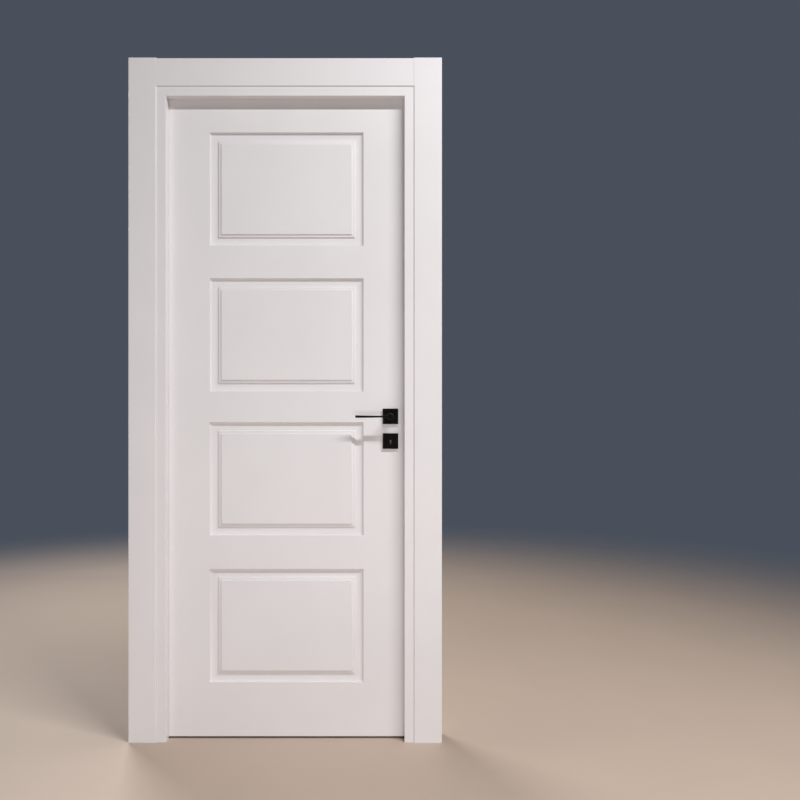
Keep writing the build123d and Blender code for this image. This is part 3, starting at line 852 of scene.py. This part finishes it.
def screw_pattern():
    """A wood screw with a cross in its flat head, which lies at the origin and looks along +X."""
    head_h = screw_head_r - screw_r
    screw = turned_pin("screw", (0, 0, 0), 1, (screw_head_r, screw_r), (head_h, screw_l - head_h))
    pick_edges(screw, lambda a, b: near(a.x, -screw_l) and near(b.x, -screw_l))
    bpy.ops.mesh.bevel(offset=screw_tip, segments=1, affect="EDGES")
    close(screw)
    for y, z in ((cross_l / 2, cross_w / 2), (cross_w / 2, cross_l / 2)):
        carved(screw, blank("cross", (-cross_d, -y, -z), (over, y, z)))
    return smoothed(screw)


def sink(head, out, depth):
    """The solid that cuts a countersunk hole."""
    hole_r = screw_r + screw_air
    taper = screw_head_r - screw_r + funnel_rim
    top = (head[0] + out * funnel_rim, *head[1:])
    return turned_pin("sink", top, out, (hole_r + taper, hole_r), (taper, depth))


def copied(piece, name, place, turn=(0, 0, 0)):
    """A copy of a piece at another place."""
    alone(piece)
    bpy.ops.object.duplicate()
    copy = bpy.context.object
    copy.location = place
    copy.rotation_euler = turn
    return placed(name)


def screw_set(name, node, heads, out):
    """Every screw of one node, each with its cross turned its own way."""
    half_turn = 0 if out > 0 else radians(180)
    turns = [(radians(cross_turn_degrees * i), 0, half_turn) for i in range(len(heads))]
    copies = [copied(pattern, name, head, turn) for head, turn in zip(heads, turns)]
    for copy in copies:
        copy.select_set(True)
    bpy.ops.object.join()
    bpy.context.object.name = name
    fitted(bpy.context.object, node)


# Hinges
def hinge_heads(edge_x, z):
    """The places of one plate's four screw heads, which lie in a zigzag."""
    return [(edge_x, hinge_screw_shift * (-1) ** i, z + (i - 1.5) * hinge_screw_step) for i in range(4)]


def hinge_plate(edge_x, out, first):
    """The top hinge's plate in the frame or in the door, with every second knuckle from the first one."""
    z = (hinge_z - hinge_half, hinge_z + hinge_half)
    xs = sorted((edge_x, edge_x - out * plate_t))
    plate = softened(blank("plate", (xs[0], hinge_low.y, z[0]), (xs[1], leaf_back, z[1])), plate_edge)
    pitch = (2 * hinge_half + knuckle_gap) / knuckles
    for i in range(first, knuckles, 2):
        span = (z[0] + i * pitch, z[0] + (i + 1) * pitch - knuckle_gap)
        ends = [(pin_x, pin_y, end) for end in span]
        barrel = rod("knuckle", *ends, barrel_r, round_sides)
        web = blank("web", (xs[0], leaf_back - over, span[0]), (xs[1], pin_y, span[1]))
        carved(softened(barrel, barrel_edge), softened(web, plate_edge), "UNION")
        carved(plate, barrel, "UNION")
    bore = ((pin_x, pin_y, z[0] - over), (pin_x, pin_y, z[1] + over))
    carved(plate, rod("bore", *bore, pin_r + pin_air))
    for head in hinge_heads(edge_x, hinge_z):
        carved(plate, sink(head, out, 2 * plate_t))
    return smoothed(plate)


def hinge_pin():
    """The top hinge's pin, with a domed cap at each end."""
    z = (hinge_z - hinge_half, hinge_z + hinge_half)
    pin = rod("pin", (pin_x, pin_y, z[0] - over), (pin_x, pin_y, z[1] + over), pin_r)
    for foot, end in ((z[0], pin_low.z), (z[1], pin_high.z)):
        ends = [(pin_x, pin_y, height) for height in sorted((foot, end))]
        cap = rod("cap", *ends, barrel_r, round_sides)
        pick_edges(cap, lambda a, b: near(a.z, end) and near(b.z, end))
        bpy.ops.mesh.bevel(offset=cap_round, segments=6, affect="EDGES")
        close(cap)
        carved(pin, cap, "UNION")
    return smoothed(pin)


def hinges():
    """Models the top hinge's three pieces and puts a copy at each of the three places."""
    frame_edge = -leaf_x - edge_gap
    patterns = {
        "frame_plate": hinge_plate(frame_edge, 1, 0),
        "door_plate": hinge_plate(-leaf_x, -1, 1),
        "pin": hinge_pin(),
    }
    lifts = [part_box(f"{word}_hinge_pin")[0].z - pin_low.z for word in hinge_words]
    for kind, piece in patterns.items():
        for word, lift in zip(hinge_words, lifts):
            fitted(copied(piece, f"{word}_{kind}", (0, 0, lift)), f"{word}_hinge_{kind}")
        bpy.data.objects.remove(piece)
    for name, node, edge_x, out in (
        ("frame_plate_screws", "frame_hinge_screws", frame_edge, 1),
        ("door_plate_screws", "door_hinge_screws", -leaf_x, -1),
    ):
        screw_set(name, node, [head for lift in lifts for head in hinge_heads(edge_x, hinge_z + lift)], out)


# Bolts, forend and strike plate
def latch():
    """The bevelled latch bolt, its bar and the lug that the cam pushes back."""
    slope_t, slope_l = latch_slope
    piece = blank("latch", (latch_heel, latch_low.y, latch_low.z), (latch_high.x - slope_l, *latch_high[1:]))
    pick_faces(piece, lambda middle, normal: normal.x > facing)
    bpy.ops.mesh.extrude_region_move(TRANSFORM_OT_translate={"value": (slope_l, 0, 0)})
    share = slope_t / (latch_high.y - latch_low.y)
    bpy.ops.transform.resize(value=(1, share, 1), center_override=(latch_high.x, latch_high.y, 0))
    close(piece)
    bar_foot = latch_high.z - latch_bar_h
    bar = blank("bar", (latch_low.x, -bar_half, bar_foot), (latch_heel + over, bar_half, latch_high.z))
    lug_low = (latch_low.x, -bar_half, bar_foot - lug_drop)
    carved(bar, blank("lug", lug_low, (latch_low.x + lug_w, bar_half, latch_high.z)), "UNION")
    carved(piece, bar, "UNION")
    fitted(smoothed(softened(piece, bolt_edge, 3)), "latch_bolt")


def dead():
    """The square deadbolt, its bar and the notch for the key's bit."""
    piece = blank("dead_bolt", (dead_heel, dead_low.y, dead_low.z), dead_high)
    bar_top = dead_low.z + dead_bar_h
    bar = blank("bar", (dead_low.x, -bar_half, dead_low.z), (dead_heel + over, bar_half, bar_top))
    notch_low = (lock_x - talon_w / 2, dead_low.y, dead_low.z - over)
    carved(bar, blank("notch", notch_low, (lock_x + talon_w / 2, dead_high.y, dead_low.z + talon_h)))
    carved(piece, bar, "UNION")
    fitted(smoothed(softened(piece, bolt_edge, 3)), "deadbolt")


def lock_plate(name, node, corner, front_only, air, screw_in, out):
    """A flat plate with round corners, or just the front ones, the two bolts' holes and two screw holes.

    Returns the places of the screws' heads.
    """
    low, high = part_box(node)
    plate = blank(name, low, high)
    pick_edges(plate, lambda a, b: not near(a.x, b.x) and (a.y < 0 or not front_only))
    bpy.ops.mesh.bevel(offset=corner, segments=10, affect="EDGES")
    close(plate)
    for bolt_low, bolt_high in ((latch_low, latch_high), (dead_low, dead_high)):
        hole_low = (low.x - over, bolt_low.y - air, bolt_low.z - air)
        carved(plate, blank("hole", hole_low, (high.x + over, bolt_high.y + air, bolt_high.z + air)))
    edge_x = high.x if out > 0 else low.x
    heads = [(edge_x, 0, z) for z in (low.z + screw_in, high.z - screw_in)]
    for head in heads:
        carved(plate, sink(head, out, lock_screw_d))
    fitted(smoothed(softened(plate, lock_plate_edge, 2, 50)), node)
    return heads


pattern = screw_pattern()
hinges()
latch()
dead()
forend_heads = lock_plate("forend", "lock_forend", forend_round, False, forend_air, forend_screw_in, 1)
strike_heads = lock_plate("strike", "strike_plate", strike_round, True, strike_air, strike_screw_in, -1)
screw_set("screws_of_forend", "forend_screws", forend_heads, 1)
screw_set("screws_of_strike", "strike_screws", strike_heads, -1)
bpy.data.objects.remove(pattern)


# Camera, light and floor
def camera():
    """A level camera in front of the door, a little to its right."""
    bpy.ops.object.camera_add(location=eye, rotation=(radians(90), 0, 0))
    view = bpy.context.object
    view.data.lens = lens
    view.data.clip_end = 100
    bpy.context.scene.camera = view


def light(name, place, turn, size, power, colour):
    """A soft rectangular light."""
    bpy.ops.object.light_add(type="AREA", location=place, rotation=turn)
    lamp = bpy.context.object
    lamp.name = name
    lamp.data.shape = "RECTANGLE"
    lamp.data.size, lamp.data.size_y = size
    lamp.data.energy = power
    lamp.data.color = colour
    lamp.visible_camera = False
    return lamp


def fill(*facts):
    """A soft light that brightens the door's shadows. It gives no highlight and leaves the floor alone."""
    lamp = light(*facts)
    lamp.visible_glossy = False
    lamp.light_linking.receiver_collection = not_floor


def aimed(place, target):
    """The turn of a light that looks from a place to its target."""
    return (Vector(target) - Vector(place)).to_track_quat("-Z", "Y").to_euler()


def lights():
    """A long thin strip high at the right, soft panels in front and at the left, and one behind."""
    middle = (0, 0, 1.0)
    light("key strip", (1.95, -1.72, 3.74), (0, 0, 0), (2.5, 0.12), 157, (0.965, 0.97, 1.0))
    fill("low panel", (0.4, -2.5, 0.42), (radians(90), 0, 0), (2.6, 0.8), 16, (0.92, 0.96, 1.0))
    fill("front panel", (0.3, -3.2, 0.85), (radians(90), 0, 0), (2.0, 1.5), 17, (1.0, 0.94, 0.93))
    left_place = (-2.4, -1.6, 1.0)
    fill("left panel", left_place, aimed(left_place, middle), (1.0, 1.6), 4.8, (0.90, 0.95, 1.0))
    back_place = (-2.6, 4.2, 3.6)
    light("back panel", back_place, aimed(back_place, middle), (2.5, 2.5), 200, (1.0, 0.98, 0.96))


def surroundings():
    """Even warm light from all round. The camera sees a plain grey instead."""
    world = bpy.data.worlds.new("surroundings")
    bpy.context.scene.world = world
    world.use_nodes = True
    tree = world.node_tree
    around = tree.nodes["Background"]
    around.inputs["Color"].default_value = (1.0, 0.88, 0.83, 1)
    around.inputs["Strength"].default_value = 0.03
    plain = tree.nodes.new("ShaderNodeBackground")
    plain.inputs["Color"].default_value = (0.068, 0.080, 0.104, 1)
    rays = tree.nodes.new("ShaderNodeLightPath")
    mix = tree.nodes.new("ShaderNodeMixShader")
    tree.links.new(rays.outputs["Is Camera Ray"], mix.inputs["Fac"])
    tree.links.new(around.outputs["Background"], mix.inputs[1])
    tree.links.new(plain.outputs["Background"], mix.inputs[2])
    tree.links.new(mix.outputs["Shader"], tree.nodes["World Output"].inputs["Surface"])


def floor():
    """A pale floor that fades out away from the door."""
    bpy.ops.object.select_all(action="DESELECT")
    bpy.ops.mesh.primitive_circle_add(vertices=96, radius=floor_reach, fill_type="NGON")
    ground = placed("floor")
    material, tree, shader, place = finish_base("floor", 0.6, specular=0.3)
    tinted(tree, shader, noise(tree, place, 3, 3), (0.58, 0.46, 0.37), 0.015)
    across, deep = axes(tree, place)[:2]
    reach = maths(tree, "SQRT", maths(tree, "ADD", maths(tree, "MULTIPLY", across, across),
                                      maths(tree, "MULTIPLY", deep, deep)), 0)
    fade = tree.nodes.new("ShaderNodeMapRange")
    fade.interpolation_type = "SMOOTHERSTEP"
    fade.inputs["From Min"].default_value = floor_fade[0]
    fade.inputs["From Max"].default_value = floor_fade[1]
    tree.links.new(reach, fade.inputs["Value"])
    clear = tree.nodes.new("ShaderNodeBsdfTransparent")
    mix = tree.nodes.new("ShaderNodeMixShader")
    tree.links.new(fade.outputs["Result"], mix.inputs["Fac"])
    tree.links.new(shader.outputs["BSDF"], mix.inputs[1])
    tree.links.new(clear.outputs["BSDF"], mix.inputs[2])
    tree.links.new(mix.outputs["Shader"], tree.nodes["Material Output"].inputs["Surface"])
    ground.data.materials.append(material)
    return ground


def all_but(piece):
    """The set of everything but one piece, for lights that leave it alone."""
    group = bpy.data.collections.new("unlit")
    group.objects.link(piece)
    group.collection_objects[0].light_linking.link_state = "EXCLUDE"
    return group


camera()
not_floor = all_but(floor())
lights()
surroundings()
bpy.context.scene.view_settings.view_transform = "Standard"
